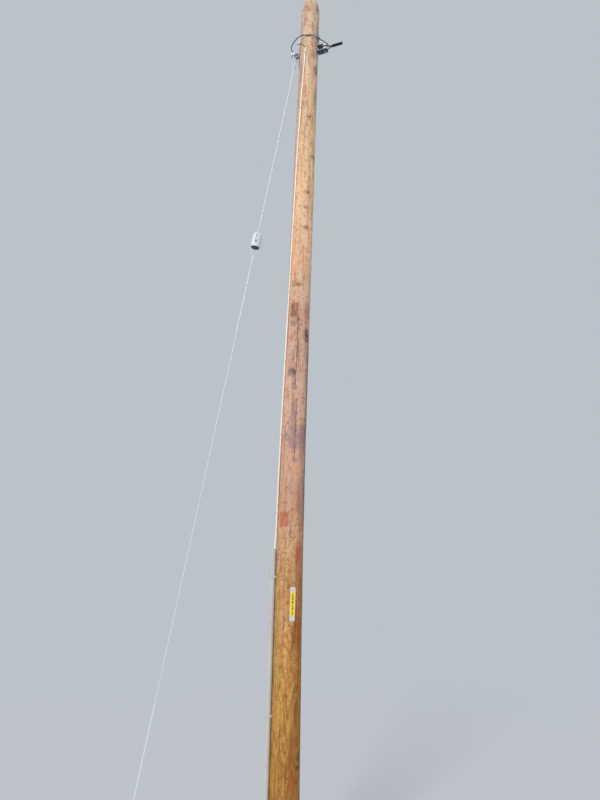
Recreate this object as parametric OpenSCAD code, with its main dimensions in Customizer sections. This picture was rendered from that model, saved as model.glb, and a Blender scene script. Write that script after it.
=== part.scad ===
// Wooden utility pole with one line bracket, one insulated down guy and a ground lead.
// Millimetres. The origin is the middle of the foot at ground level, +Z is up,
// +X is the way the line leaves, and the guy comes down on the -X side.

/* [Pole] */
// Height of the timber above the ground
pole_h = 7620; // [6800:10:9000]
// Diameter of the timber at the ground
ground_d = 221; // [190:1:260]
// Diameter of the timber at its top
top_d = 174; // [150:1:200]
// Depth of the worn rounding below the top
top_worn = 155; // [20:5:200]
// How far the rounding brings the edge in at the very top
top_inset = 36; // [5:1:50]
// How far the timber bows off the line from foot to top
pole_bow = 33; // [0:1:60]
// Height where the bow is deepest
bow_z = 2600; // [2000:10:3000]
// Direction the timber bows to, seen from above
bow_dir = 202; // [0:1:360]

/* [Through bolts] */
// Diameter of both through bolts
bolt_d = 16; // [12:1:20]
// Gap all round a bolt in its hole
bolt_clear = 0.4; // [0.3:0.1:0.9]
// Distance below the top of the bolt that carries the line bracket and the guy
bolt_drop = 610; // [420:10:900]
// Height of the upper bolt above it
upper_rise = 145; // [130:5:200]
// Width across the flats of the square heads and nuts
nut_w = 25; // [20:1:32]
// Thickness of the heads and nuts
nut_t = 11; // [8:1:16]
// Length of the thread that stands out past the upper nut
thread_out = 22; // [10:1:40]
// Side of the square washers
washer_w = 76; // [50:1:90]
// Thickness of the square washers
washer_t = 5; // [3:0.5:8]

/* [Guy attachment] */
// Width of the strain plate round the timber
plate_w = 100; // [80:1:120]
// Length of the strain plate down the timber
plate_h = 200; // [150:5:260]
// Thickness of the strain plate
plate_t = 3; // [2:0.5:5]
// Gap between the strain plate and the thimble eye's ring
eye_gap = 4; // [2:1:30]
// Inner diameter of the thimble eye
eye_bore = 26; // [24:1:34]
// Thickness of the thimble eye's ring
eye_ring = 14; // [10:1:18]
// Diameter of the thimble eye's neck
neck_d = 27; // [24:1:34]

/* [Line bracket] */
// Distance from the timber to the spool's pin
pin_out = 79; // [72:1:100]
// Width of the bracket's flat bar
bar_w = 56; // [40:1:60]
// Thickness of the bracket's flat bar
bar_t = 5; // [4:0.5:8]
// Diameter of the spool's pin
pin_d = 16; // [12:1:16]
// Height of the spool insulator
spool_h = 54; // [50:1:80]
// Diameter of the spool insulator
spool_d = 57; // [52:1:80]
// Diameter at the bottom of the spool's groove
groove_d = 42; // [38:1:48]
// Gap between the spool and the bracket's arms
spool_gap = 1; // [0.5:0.1:2]

/* [Guy] */
// Distance from the pole to the guy at ground level
guy_lead = 1320; // [1100:10:2400]
// Diameter of the guy strand
strand_d = 8; // [6:0.5:10]
// Diameter over the grips where they wrap the strand
grip_d = 14; // [13:0.5:17]
// Gap between a grip and the strand inside it
grip_gap = 0.3; // [0.2:0.1:0.4]
// Diameter of each leg of a grip's loop
leg_d = 7; // [5:0.5:8]
// Length of one turn of a grip's wires
grip_pitch = 75; // [60:1:100]
// Length of a grip from the seat of its loop to its end
grip_len = 900; // [700:10:950]
// Bare strand between the two grips above the insulator
guy_free = 163; // [60:1:600]

/* [Guy insulator] */
// Length of the porcelain guy insulator
insulator_h = 140; // [132:1:180]
// Diameter of the porcelain guy insulator
insulator_d = 86; // [84:1:100]
// Diameter of its two crossing holes
hole_d = 20; // [14:1:22]
// Distance of each hole from the insulator's middle
hole_off = 18; // [16:1:26]
// Turn of the insulator and its two loops about the guy
insulator_turn = 22; // [0:1:90]

/* [Anchor rod] */
// Diameter of the anchor rod
rod_d = 16; // [14:1:20]
// Length of rod that shows above the ground
rod_out = 300; // [200:10:500]

/* [Bond jumper] */
// Diameter of the black bond jumper
jumper_d = 8; // [5:0.5:10]
// Height of the jumper's arc above the lower bolt
jumper_rise = 115; // [100:1:140]
// How far the jumper stands off the timber on the guy's side
jumper_out = 84; // [70:1:100]
// Length of the wrapped end beyond the spool
serving_len = 100; // [60:5:150]
// Width of the bond clamp on the guy's tail
clamp_w = 30; // [27:1:34]
// Height of the bond clamp
clamp_h = 22; // [16:1:26]

/* [Ground lead] */
// Diameter of the cream ground lead
lead_d = 12; // [8:0.5:14]
// Diameter of its bare copper end
copper_d = 5; // [4:0.5:7]
// Distance from the lower bolt down to the top of the cream sheath
lead_drop = 30; // [25:5:300]
// Length of the lead inside the conduit
lead_inside = 160; // [60:10:400]
// Spacing of the staples along the lead
staple_step = 610; // [300:10:1200]

/* [Conduit] */
// Outer diameter of the conduit
conduit_d = 42; // [33:1:48]
// Wall of the conduit
conduit_wall = 3.6; // [2.5:0.1:4]
// Height of the conduit's open top
conduit_h = 2380; // [1800:10:2600]
// Direction of the conduit from the pole's middle, seen from above
conduit_dir = 214; // [205:1:225]
// Width of each conduit strap
strap_w = 19; // [15:1:25]
// Thickness of each conduit strap
strap_t = 1.5; // [1:0.1:2]

/* [Number tag] */
// Height of the middle of the tag holder
tag_z = 1995; // [1500:5:2200]
// Direction the tag faces, seen from above
tag_dir = 309; // [290:1:330]
// Width of the tag holder
tag_w = 42; // [36:1:50]
// Length of the tag holder
tag_h = 238; // [200:1:280]
// Thickness of the tag holder's sheet
tag_t = 1.5; // [1:0.1:2]
// Length of the number strip
strip_h = 162; // [120:1:170]
// Width of the lips that hold the strip
lip = 1.5; // [1:0.1:3]

/* [Hidden] */

$fn = 48;
seat = 0.3;
bolt_z = pole_h - bolt_drop;
lead_top = bolt_z - lead_drop;
pole_sides = 40;
pole_rings = 22;
worn_rings = 6;
bow_blend = 1000;
rod_sides = 8;

// Radius of the timber at a height
function pole_r(z) = (ground_d + (top_d - ground_d) * z / pole_h) / 2;

// Bow of the timber: straight below and above, with a smooth bend between
function bow_at(z) =
    let (low = pole_bow / bow_z, high = -pole_bow / (pole_h - bow_z), t = z - bow_z + bow_blend)
    z < bow_z - bow_blend ? low * z
    : z > bow_z + bow_blend ? pole_bow + high * (z - bow_z)
    : low * z + (high - low) * t * t / (4 * bow_blend);

// Middle of the timber at a height
function pole_c(z) = bow_at(z) * [cos(bow_dir), sin(bow_dir)];

// Point at a direction, height and distance outside the timber
function off_pole(a, z, out) =
    let (c = pole_c(z), r = pole_r(z) + out) [c[0] + r * cos(a), c[1] + r * sin(a), z];

// How far the worn top edge stands in at a height
function worn_in(z) = top_inset * pow(max(0, (z - pole_h + top_worn) / top_worn), 2);

// Slope of the timber's side at a direction and height
function side_slope(a, z) = let (step = 20)
    (off_side(a, z + step) - off_side(a, z - step)) / (2 * step);
function off_side(a, z) = pole_r(z) + bow_at(z) * cos(a - bow_dir);

function unit(v) = v / norm(v);

// Direction of a path at each of its points
function headings(path) = [for (i = [0:len(path) - 1])
    unit(path[min(i + 1, len(path) - 1)] - path[max(i - 1, 0)])];

// Side direction at each point, carried along the path without twist
function sides_along(heads, side, i = 0, done = []) = i == len(heads) ? done
    : let (next = unit(side - (side * heads[i]) * heads[i]))
      sides_along(heads, next, i + 1, concat(done, [next]));

// Smooth curve through the chosen points of a route
function curve_point(p, i, t) =
    let (last = len(p) - 1,
         a = p[max(i - 1, 0)], b = p[i], c = p[min(i + 1, last)], d = p[min(i + 2, last)])
    0.5 * (2 * b + (c - a) * t + (2 * a - 5 * b + 4 * c - d) * t * t + (3 * b - a - 3 * c + d) * t * t * t);
function curve(p, steps) = concat(
    [for (i = [0:len(p) - 2], k = [0:steps - 1]) curve_point(p, i, k / steps)], [p[len(p) - 1]]);

// Round bar along a path
module bar_along(path, d, side, count = rod_sides) {
    heads = headings(path);
    sides = sides_along(heads, side);
    last = len(path) - 1;
    points = [for (i = [0:last], k = [0:count - 1]) let (turn = k * 360 / count)
        path[i] + d / 2 * (cos(turn) * sides[i] + sin(turn) * cross(heads[i], sides[i]))];
    walls = [for (i = [0:last - 1], k = [0:count - 1], half = [0, 1])
        let (m = (k + 1) % count, a = i * count + k, b = i * count + m)
        half == 0 ? [a, a + count, b + count] : [a, b + count, b]];
    start_cap = [for (k = [0:count - 1]) k];
    end_cap = [for (k = [count - 1:-1:0]) last * count + k];
    polyhedron(points, concat(walls, [start_cap, end_cap]), convexity = 6);
}

// Frame on the pole's axis at a height: local X points the way given
module at_pole(a, z) {
    c = pole_c(z);
    translate([c[0], c[1], z]) rotate([0, 0, a]) children();
}

// Frame on the timber's side: X points out, Z runs up the side
module on_side(a, z) {
    at_pole(a, z) translate([pole_r(z), 0, 0]) rotate([0, atan(side_slope(a, z)), 0]) children();
}

// Guy line: from the thimble eye down to the ground
eye_out = eye_gap + eye_ring + eye_bore / 2;
guy_top = [pole_c(bolt_z)[0] - pole_r(bolt_z) - plate_t - eye_out, pole_c(bolt_z)[1], bolt_z];
guy_tilt = atan((guy_lead + guy_top[0]) / bolt_z);
guy_len = bolt_z / cos(guy_tilt);
eye_s = guy_len - rod_out;

// Place in the world of a point given in the guy's own frame, whose origin is the eye
function guy_point(p) = guy_top +
    [p[0] * cos(guy_tilt) + p[2] * sin(guy_tilt), p[1], p[2] * cos(guy_tilt) - p[0] * sin(guy_tilt)];

// Frame on the guy at a distance below the eye: Z runs up the guy
module on_guy(s, turn = 0) {
    translate(guy_top) rotate([0, guy_tilt, 0]) translate([0, 0, -s]) rotate([0, 0, turn]) children();
}

// The timber

module pole_shaft() color("burlywood") difference() {
    tapered_timber();
    for (z = [bolt_z, bolt_z + upper_rise])
        at_pole(0, z) rotate([0, 90, 0])
            cylinder(d = bolt_d + 2 * bolt_clear, h = 2 * ground_d, center = true);
}

module tapered_timber() {
    heights = concat([for (i = [0:pole_rings - 1]) i * (pole_h - top_worn) / (pole_rings - 1)],
        [for (i = [1:worn_rings]) pole_h - top_worn + top_worn * i / worn_rings]);
    last = len(heights) - 1;
    count = pole_sides;
    points = [for (z = heights, k = [0:count - 1]) off_pole(k * 360 / count, z, -worn_in(z))];
    walls = [for (i = [0:last - 1], k = [0:count - 1], half = [0, 1])
        let (m = (k + 1) % count, a = i * count + k, b = i * count + m)
        half == 0 ? [a, a + count, b + count] : [a, b + count, b]];
    foot_cap = [for (k = [0:count - 1]) k];
    top_cap = [for (k = [count - 1:-1:0]) last * count + k];
    polyhedron(points, concat(walls, [foot_cap, top_cap]), convexity = 4);
}

// Bolts and washers

module square_nut(bore = 0) {
    difference() {
        intersection() {
            translate([0, -nut_w / 2, -nut_w / 2]) cube([nut_t, nut_w, nut_w]);
            rotate([0, 90, 0]) cylinder(d1 = nut_w * 1.45, d2 = nut_w * 1.2, h = nut_t);
        }
        if (bore > 0) translate([-1, 0, 0]) rotate([0, 90, 0]) cylinder(d = bore, h = nut_t + 2);
    }
}

// Lower bolt: square head inside the bracket, thread in the thimble eye nut
module through_bolt() color("silver") at_pole(0, bolt_z) {
    head_x = pole_r(bolt_z) + seat + bar_t;
    translate([head_x, 0, 0]) square_nut();
    tip_x = -(pole_r(bolt_z) + plate_t + thread_depth);
    translate([tip_x, 0, 0]) rotate([0, 90, 0]) cylinder(d = bolt_d, h = head_x - tip_x + 1);
}
thread_depth = eye_out - eye_bore / 2 - eye_ring / 2 - 3;

// Curved plate that seats on the timber, its middle on the X axis
module curved_plate(z, w, low, high, t) {
    r = pole_r(z) + seat;
    half = w / 2;
    intersection() {
        translate([-r, 0, 0]) difference() {
            translate([0, 0, low]) cylinder(r = r + t, h = high - low, $fn = 96);
            translate([0, 0, low - 1]) cylinder(r = r, h = high - low + 2, $fn = 96);
        }
        translate([-r / 2, -half, low]) cube([r, w, high - low]);
    }
}

// Plate that spreads the guy's pull down the timber
plate_high = 45;
module strain_plate() color("gray") difference() {
    on_side(180, bolt_z) curved_plate(bolt_z, plate_w, plate_high - plate_h, plate_high, plate_t);
    at_pole(180, bolt_z) rotate([0, 90, 0]) cylinder(d = bolt_d + 2 * bolt_clear, h = ground_d);
}

// Thimble eye nut: a grooved ring on a round neck, screwed on the bolt's end
module thimble_eye_nut() color("gainsboro") at_pole(180, bolt_z)
    translate([pole_r(bolt_z) + 2 * seat + plate_t, 0, 0]) difference() {
        union() {
            rotate([0, 90, 0]) cylinder(d1 = neck_d + 6, d2 = neck_d, h = 8);
            rotate([0, 90, 0]) cylinder(d = neck_d, h = eye_out - eye_bore / 2 - eye_ring / 3);
            translate([eye_out, 0, 0]) rotate([90, 0, 0]) rotate_extrude($fn = 64) eye_section();
        }
        translate([-1, 0, 0]) rotate([0, 90, 0]) cylinder(d = bolt_d + 0.2, h = thread_depth + 1);
        translate([eye_out, 0, 0]) rotate([90, 0, 0]) cylinder(d = eye_bore, h = 2 * neck_d, center = true);
    }

// Section of the ring: a wide round seat for the loop, flat on its outer side
module eye_section() intersection() {
    translate([eye_bore / 2 + saddle_r, 0]) circle(r = saddle_r);
    translate([eye_bore / 2, -saddle_r]) square([eye_ring, 2 * saddle_r]);
}
saddle_r = 11;

module plate_nails() color("dimgray")
    for (z = [plate_high - plate_h + 14, -plate_high - 20])
        on_side(180, bolt_z) translate([plate_t + seat, 0, z])
            rotate([0, 90, 0]) cylinder(d1 = 12, d2 = 8, h = 3);

module square_washer(side_dir) at_pole(side_dir, bolt_z + upper_rise)
    translate([pole_r(bolt_z + upper_rise), 0, 0]) difference() {
        curved_plate(bolt_z + upper_rise, washer_w, -washer_w / 2, washer_w / 2, washer_t);
        rotate([0, 90, 0]) cylinder(d = bolt_d + 2 * bolt_clear, h = 4 * washer_t, center = true);
    }
module upper_washer_front() color("gray") square_washer(0);
module upper_washer_back() color("gray") square_washer(180);

upper_face = pole_r(bolt_z + upper_rise) + seat + washer_t;
module upper_bolt() color("silver") at_pole(0, bolt_z + upper_rise) {
    translate([upper_face, 0, 0]) square_nut();
    tip_x = -(upper_face + nut_t + thread_out);
    translate([tip_x, 0, 0]) rotate([0, 90, 0]) cylinder(d = bolt_d, h = upper_face - tip_x + 1);
}
module upper_bolt_nut() color("silver") at_pole(180, bolt_z + upper_rise)
    translate([upper_face, 0, 0]) square_nut(bolt_d + 0.2);

// Line bracket with its spool

arm_gap = spool_h + 2 * spool_gap;
bend_r = 6;
module spool_clevis() color("silver") at_pole(0, bolt_z)
    translate([pole_r(bolt_z) + seat, 0, 0]) difference() {
        union() {
            rotate([90, 0, 0]) linear_extrude(height = bar_w, center = true) clevis_side();
            for (z = [-arm_gap / 2 - bar_t, arm_gap / 2])
                translate([pin_out, 0, z]) cylinder(d = bar_w, h = bar_t);
        }
        translate([pin_out, 0, 0]) cylinder(d = pin_d + 2 * bolt_clear, h = 2 * arm_gap, center = true);
        rotate([0, 90, 0]) cylinder(d = bolt_d + 2 * bolt_clear, h = 4 * bar_t, center = true);
    }
module clevis_side() {
    out = arm_gap / 2 + bar_t;
    difference() {
        rounded_block(pin_out, out, bend_r);
        translate([bar_t, 0]) rounded_block(pin_out, arm_gap / 2, bend_r - bar_t / 2);
    }
}
// Rectangle from x = 0 outward whose two corners at x = 0 are round
module rounded_block(length, half, r) {
    translate([r, -half]) square([length - r, 2 * half]);
    translate([0, -half + r]) square([length, 2 * (half - r)]);
    for (side = [-1, 1]) translate([r, side * (half - r)]) circle(r = r);
}

module spool_insulator() color("white") at_pole(0, bolt_z)
    translate([pole_r(bolt_z) + seat + pin_out, 0, 0]) rotate_extrude($fn = 64) difference() {
        spool_half();
        translate([0, -spool_h]) square([pin_d / 2 + 1, 2 * spool_h]);
    }
module spool_half() {
    r = spool_d / 2;
    lip = 5;
    groove_r = 11;
    difference() {
        union() {
            translate([0, -spool_h / 2]) square([r - lip, spool_h]);
            translate([0, -spool_h / 2 + lip]) square([r, spool_h - 2 * lip]);
            for (side = [-1, 1]) translate([r - lip, side * (spool_h / 2 - lip)]) circle(r = lip);
        }
        translate([groove_d / 2 + groove_r, 0]) circle(r = groove_r);
        translate([groove_d / 2 + groove_r, -groove_r]) square([spool_d, 2 * groove_r]);
    }
}

module spool_pin() color("silver") at_pole(0, bolt_z) translate([pole_r(bolt_z) + seat + pin_out, 0, 0]) {
    top = arm_gap / 2 + bar_t;
    translate([0, 0, top]) cylinder(d = 2 * pin_d, h = 14, $fn = 6);
    difference() {
        translate([0, 0, -top - 16]) cylinder(d = pin_d, h = 2 * top + 17);
        translate([0, 0, -top - 8]) rotate([90, 0, 0]) cylinder(d = 4.4, h = 30, center = true, $fn = 24);
    }
}
module spool_cotter() color("dimgray") at_pole(0, bolt_z)
    translate([pole_r(bolt_z) + seat + pin_out, 0, -arm_gap / 2 - bar_t - 8]) {
        rotate([90, 0, 0]) cylinder(d = 3.8, h = 30, center = true, $fn = 24);
        translate([0, -18.5, 0]) rotate([0, 90, 0]) rotate_extrude($fn = 32)
            translate([3.6, 0]) circle(d = 2.4, $fn = 16);
    }

// Guy line

// Half width of a grip's legs where they meet on the strand
leg_meet = grip_d / 2 - leg_d / 2 + 0.8;

// One leg of a grip's loop, from where the legs meet up to the loop's seat:
// half the loop's width, the radius of its corner, where the legs start to close and where they meet
function leg_side(half, corner, close_z, meet_z) =
    let (ease = (half - leg_meet) * 0.12, drop = (meet_z - close_z) * 0.22)
    concat([[leg_meet, -meet_z - 6], [leg_meet, -meet_z], [leg_meet + ease, drop - meet_z],
            [(half + leg_meet) / 2, -(close_z + meet_z) / 2], [half - ease, -close_z - drop]],
        close_z > corner ? [[half, -close_z], [half, -(close_z + corner) / 2]] : [],
        [for (a = [0:15:90]) [half - corner + corner * cos(a), corner * sin(a) - corner]]);

// Whole loop of a grip, its seat at the origin and its legs running down
function loop_path(half, corner, close_z, meet_z) =
    let (side = leg_side(half, corner, close_z, meet_z), first = len(side) - (half > corner ? 1 : 2))
    concat([for (p = side) [0, -p[0], p[1]]], [for (i = [first:-1:0]) [0, side[i][0], side[i][1]]]);

// Wires of a grip laid round the strand, as a fluted sleeve that winds down it
module grip_sleeve(from_z, to_z) {
    steps = ceil((to_z - from_z) / grip_pitch * 8);
    count = 8;
    points = [for (i = [0:steps], k = [0:count - 1])
        let (z = from_z + (to_z - from_z) * i / steps,
             a = k * 360 / count + 360 * (z - from_z) / grip_pitch,
             r = grip_d / 2 - (k % 2 == 0 ? 0 : flute))
        [r * cos(a), r * sin(a), -z]];
    walls = [for (i = [0:steps - 1], k = [0:count - 1], half = [0, 1])
        let (m = (k + 1) % count, a = i * count + k, b = i * count + m)
        half == 0 ? [a, b, b + count] : [a, b + count, a + count]];
    start_cap = [for (k = [count - 1:-1:0]) k];
    end_cap = [for (k = [0:count - 1]) steps * count + k];
    difference() {
        polyhedron(points, concat(walls, [start_cap, end_cap]), convexity = 4);
        translate([0, 0, -to_z - 1]) cylinder(d = strand_d + 2 * grip_gap, h = to_z - from_z + 2, $fn = 32);
    }
}
flute = 1.2;

module grip(half, corner, close_z, meet_z) {
    bar_along(loop_path(half, corner, close_z, meet_z), leg_d, [1, 0, 0]);
    grip_sleeve(meet_z + 2, grip_len);
}

eye_half = 20;
eye_meet = 150;
eye_bear = eye_bore / 2 - leg_d / 2 - seat;
ins_half = insulator_d / 2 - leg_d / 2 - 3;
ins_corner = 14;
ins_close = insulator_h / 2 + hole_off;
ins_meet = ins_close + 92;
ins_seat = eye_bear + 2 * grip_len + guy_free;
insulator_s = ins_seat - hole_off + (hole_d - leg_d) / 2 - seat;
ins_seat_low = 2 * insulator_s - ins_seat;
grip_in = 12;

module guy_grip_top() color("lightsteelblue") difference() {
    on_guy(eye_bear) grip(eye_half, eye_half, eye_half, eye_meet);
    bar_along([for (p = tail_route) guy_point(p)], strand_d + 2 * grip_gap, [0, 1, 0]);
}
module insulator_grip_upper() color("lightsteelblue")
    on_guy(ins_seat, insulator_turn) rotate([180, 0, 0]) grip(ins_half, ins_corner, ins_close, ins_meet);
module insulator_grip_lower() color("lightsteelblue")
    on_guy(ins_seat_low, 90 + insulator_turn) grip(ins_half, ins_corner, ins_close, ins_meet);
module guy_grip_bottom() color("lightsteelblue")
    on_guy(eye_s - eye_bear) rotate([180, 0, 0]) grip(eye_half, eye_half, eye_half, eye_meet);

// Strand of one segment of the guy; the upper one ends in a tail that comes out of its grip
module strand(s0, s1) on_guy(s1) cylinder(d = strand_d, h = s1 - s0);
tail_x = -18;
tail_y = -34;
tail_end = 12;
tail_route = [
    [0, 0, -1.6 * eye_meet], [0, 0, -1.28 * eye_meet], [-1.5, 0, -eye_meet - 30], [-4.6, 0, -eye_meet - 18],
    [-8.4, 0, -eye_meet - 5], [-11.6, -1, -eye_meet + 6], [-15, tail_y * 0.18, -0.8 * eye_meet],
    [-18, tail_y * 0.41, -0.59 * eye_meet], [-20, tail_y * 0.68, -0.41 * eye_meet],
    [tail_x - 2, tail_y * 0.91, -0.27 * eye_meet], [tail_x, tail_y, -25], [tail_x, tail_y, tail_end]
];
module guy_strand_upper() color("darkgray") {
    strand(eye_meet + 50, ins_seat - ins_meet - grip_in);
    bar_along([for (p = tail_route) guy_point(p)], strand_d - 0.3, [0, 1, 0], 12);
}
module guy_strand_lower() color("darkgray")
    strand(ins_seat_low + ins_meet + grip_in, eye_s - eye_meet - grip_in);

// Porcelain insulator: two crossing holes, each with a groove up each side to its own end
module guy_insulator() color("white") on_guy(insulator_s, insulator_turn) difference() {
    rotate_extrude($fn = 72) insulator_half();
    loop_way();
    rotate([180, 0, 90]) loop_way();
}
module insulator_half() {
    r = insulator_d / 2;
    h = insulator_h / 2;
    corner = 16;
    translate([0, -h]) square([r - corner, 2 * h]);
    translate([0, -h + corner]) square([r, 2 * (h - corner)]);
    for (side = [-1, 1]) translate([r - corner, side * (h - corner)]) circle(r = corner);
}
// Room for the loop that comes in from above: a hole along Y, a round bend and a groove up each side
module loop_way() {
    way_d = hole_d - 4;
    bend = ins_corner - leg_d / 2 - seat + way_d / 2;
    middle = ins_half - ins_corner;
    translate([0, 0, -hole_off]) rotate([90, 0, 0])
        cylinder(d = hole_d, h = 2 * insulator_d, center = true);
    for (turn = [0, 180]) rotate([0, 0, turn]) {
        translate([0, middle, hole_d / 2 - hole_off + bend - way_d / 2]) {
            rotate([90, 0, 90]) rotate([0, 0, -90]) rotate_extrude(angle = 90, $fn = 64)
                translate([bend, 0]) circle(d = way_d);
            translate([0, bend, 0]) cylinder(d = way_d, h = insulator_h);
            translate([-way_d / 2, bend, 0]) cube([way_d, insulator_d, insulator_h]);
        }
    }
}

// Anchor rod: thimble eye at its top, cut at the ground
module anchor_rod() color("gray") difference() {
    on_guy(eye_s) {
        rotate([90, 0, 0]) rotate_extrude($fn = 64) eye_section();
        translate([0, 0, -2 * rod_out]) cylinder(d = rod_d, h = 2 * rod_out - eye_bore / 2 - eye_ring / 4);
    }
    translate([-2 * guy_lead, -rod_out, -2 * rod_out]) cube([2 * guy_lead, 2 * rod_out, 2 * rod_out]);
}

// Black bond jumper from the spool to the guy's tail

spool_x = pole_c(bolt_z)[0] + pole_r(bolt_z) + seat + pin_out;
spool_y = pole_c(bolt_z)[1];
wrap_from = 68;
wrap_core = 10;
wrap_d = 5;
staple_dir = 279.5;
staple_z = bolt_z + 0.99 * jumper_rise;
jumper_in = [-8, -7.8];
jumper_x = tail_x - jumper_d / 2 - strand_d / 2 - 8;
clamp_mid = -6;
jumper_end = -40;
// Points of the arc: direction round the pole, and shares of the rise and of the distance off the timber
jumper_arc = [
    [352, -0.148, 1.384], [347, -0.052, 1.36], [341, 0.061, 1.22], [334, 0.122, 1.084], [326, 0.278, 0.846],
    [319, 0.609, 0.459], [310, 0.87, 0.2], [298, 1, 0.03], [288, 1, 0.01], [staple_dir, 0.99, 0],
    [271.5, 0.99, 0.03], [262, 0.99, 0.15], [249, 0.99, 0.27], [233, 0.93, 0.43], [219, 0.835, 0.62],
    [210.5, 0.774, 0.76], [204, 0.652, 0.9], [198, 0.47, 0.985]
];
function jumper_off(share) = jumper_d / 2 + seat + share * (jumper_out - jumper_d / 2);
jumper_route = concat(
    [for (x = [14, -4]) [spool_x + wrap_from + x, spool_y + jumper_in[0], bolt_z + jumper_in[1]]],
    [for (row = jumper_arc) off_pole(row[0], bolt_z + row[1] * jumper_rise, jumper_off(row[2]))],
    [guy_point([jumper_x - 3, tail_y, 24]), guy_point([jumper_x, tail_y, 8])]);
jumper_line = concat(curve(jumper_route, 3), [guy_point([jumper_x, tail_y, jumper_end])]);
module bond_jumper() color("midnightblue") bar_along(jumper_line, jumper_d, [0, 0, 1]);

// Loop round the spool and the wrapping that closes it, hollowed where the jumper leaves it
module jumper_serving() color("midnightblue") translate([spool_x, spool_y, bolt_z]) {
    near = wrap_from - 6;
    leg_y = 5;
    loop_r = groove_d / 2 + jumper_d / 2 + seat;
    turn = [for (a = [90:15:270]) [loop_r * cos(a), loop_r * sin(a), 0]];
    bar_along(concat([[near + 8, leg_y, 0], [near, leg_y, 0], [near * 0.55, 14, 0]], turn,
        [[near * 0.55, -14, 0], [near, -leg_y, 0], [near + 8, -leg_y, 0]]), jumper_d, [0, 0, 1]);
    difference() {
        translate([wrap_from, 0, 0]) rotate([0, 90, 0]) rotate_extrude($fn = 32) serving_half();
        translate([wrap_from - 10, jumper_in[0], jumper_in[1]]) rotate([0, 90, 0])
            cylinder(d = jumper_d + 2 * seat, h = 25);
    }
}
module serving_half() {
    wraps = floor(serving_len / wrap_d);
    square([wrap_core, wraps * wrap_d]);
    for (i = [0:wraps - 1]) translate([wrap_core, (i + 0.5) * wrap_d]) circle(d = wrap_d, $fn = 16);
}

// U of a staple over a wire along Z that lies on the timber, its wire's middle at the origin
module staple(wire_d) {
    inner = wire_d / 2 + seat;
    rotate([0, 0, -90]) rotate_extrude(angle = 180, $fn = 32)
        translate([inner, -staple_w / 2]) square([staple_t, staple_w]);
    leg_y = inner + staple_t / 2;
    for (side = [-1, 1]) translate([-wire_d / 2, side * leg_y - staple_t / 2, -staple_w / 2])
        cube([wire_d / 2 + 0.01, staple_t, staple_w]);
}
staple_t = 2;
staple_w = 3;
module jumper_staple() color("dimgray") on_side(staple_dir, staple_z) translate([jumper_d / 2 + seat, 0, 0])
    rotate([90, 0, 0]) staple(jumper_d);

// Bond clamp: two grooved halves drawn together by a bolt between the strand's tail and the jumper
module bond_clamp() color("white") {
    depth = 18;
    apart = tail_x - jumper_x;
    translate(guy_point([(tail_x + jumper_x) / 2, tail_y, clamp_mid])) rotate([0, guy_tilt, 0]) {
        difference() {
            cube([clamp_w, depth, clamp_h], center = true);
            cube([2 * clamp_w, 1.6, 2 * clamp_h], center = true);
            for (side = [-1, 1]) translate([side * apart / 2, 0, 0])
                cylinder(d = strand_d + 2 * seat, h = 2 * clamp_h, center = true);
        }
        rotate([90, 0, 0]) cylinder(d = 6.5, h = depth + 2, center = true);
        for (side = [0, 180]) rotate([0, 0, side]) translate([0, -depth / 2, 0])
            rotate([90, 0, 0]) cylinder(d = 14, h = 5, $fn = 6);
    }
}

// Ground lead down the timber

// Direction of the lead round the pole at chosen shares of the pole's height
lead_turns = [[0.26, 214], [0.315, 214], [0.354, 216], [0.472, 227], [0.538, 233], [0.604, 237],
    [0.682, 243], [0.774, 250], [0.853, 261], [0.919, 272]];
function lead_dir(z) = lookup(z / pole_h, lead_turns);
// Height over which the lead leaves the timber to pass inside the conduit's wall
lead_enter = 120;
rim_gap = 4.4;
function lead_out(z) = lead_d / 2 + seat
    + (conduit_wall + rim_gap) * max(0, min(1, (conduit_h + lead_enter - z) / lead_enter));
lead_rings = 72;
lead_low = conduit_h - lead_inside;
function lead_z(i) = lead_top - i * (lead_top - lead_low) / lead_rings;
module ground_lead() color("ivory")
    bar_along([for (i = [0:lead_rings]) let (z = lead_z(i)) off_pole(lead_dir(z), z, lead_out(z))],
        lead_d, [0, 1, 0]);

// Bare copper end: out of the sheath and up round the timber to the edge of the upper bolt's back washer
module ground_lead_end() color("peru") {
    from = lead_dir(lead_top);
    lying = copper_d / 2 + seat;
    half_turn = 180;
    to = half_turn + asin((washer_w / 2 + lying) / (pole_r(bolt_z) + lying));
    rise = bolt_z + upper_rise - 0.44 * washer_w - lead_top;
    steps = 18;
    lead_axis = lead_d / 2 + seat;
    out_of_sheath = [off_pole(from, lead_top + seat, lead_axis),
        off_pole(from - 0.5, lead_top + lead_d / 2, lead_axis - 0.7)];
    round_timber = [for (i = [1:steps]) let (part = i / steps)
        off_pole(from + (to - from) * part, lead_top + rise * lookup(part, end_rise), lying)];
    bar_along(concat(out_of_sheath, round_timber), copper_d, [0, 1, 0]);
}
end_rise = [[0, 0.06], [0.08, 0.12], [0.34, 0.38], [0.73, 0.7], [1, 1]];

module lead_staples() color("silver")
    for (z = [lead_top - lead_enter / 2:-staple_step:conduit_h + lead_enter])
        on_side(lead_dir(z), z) translate([lead_d / 2 + seat, 0, 0]) staple(lead_d);

// Conduit down the timber's left side

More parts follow.
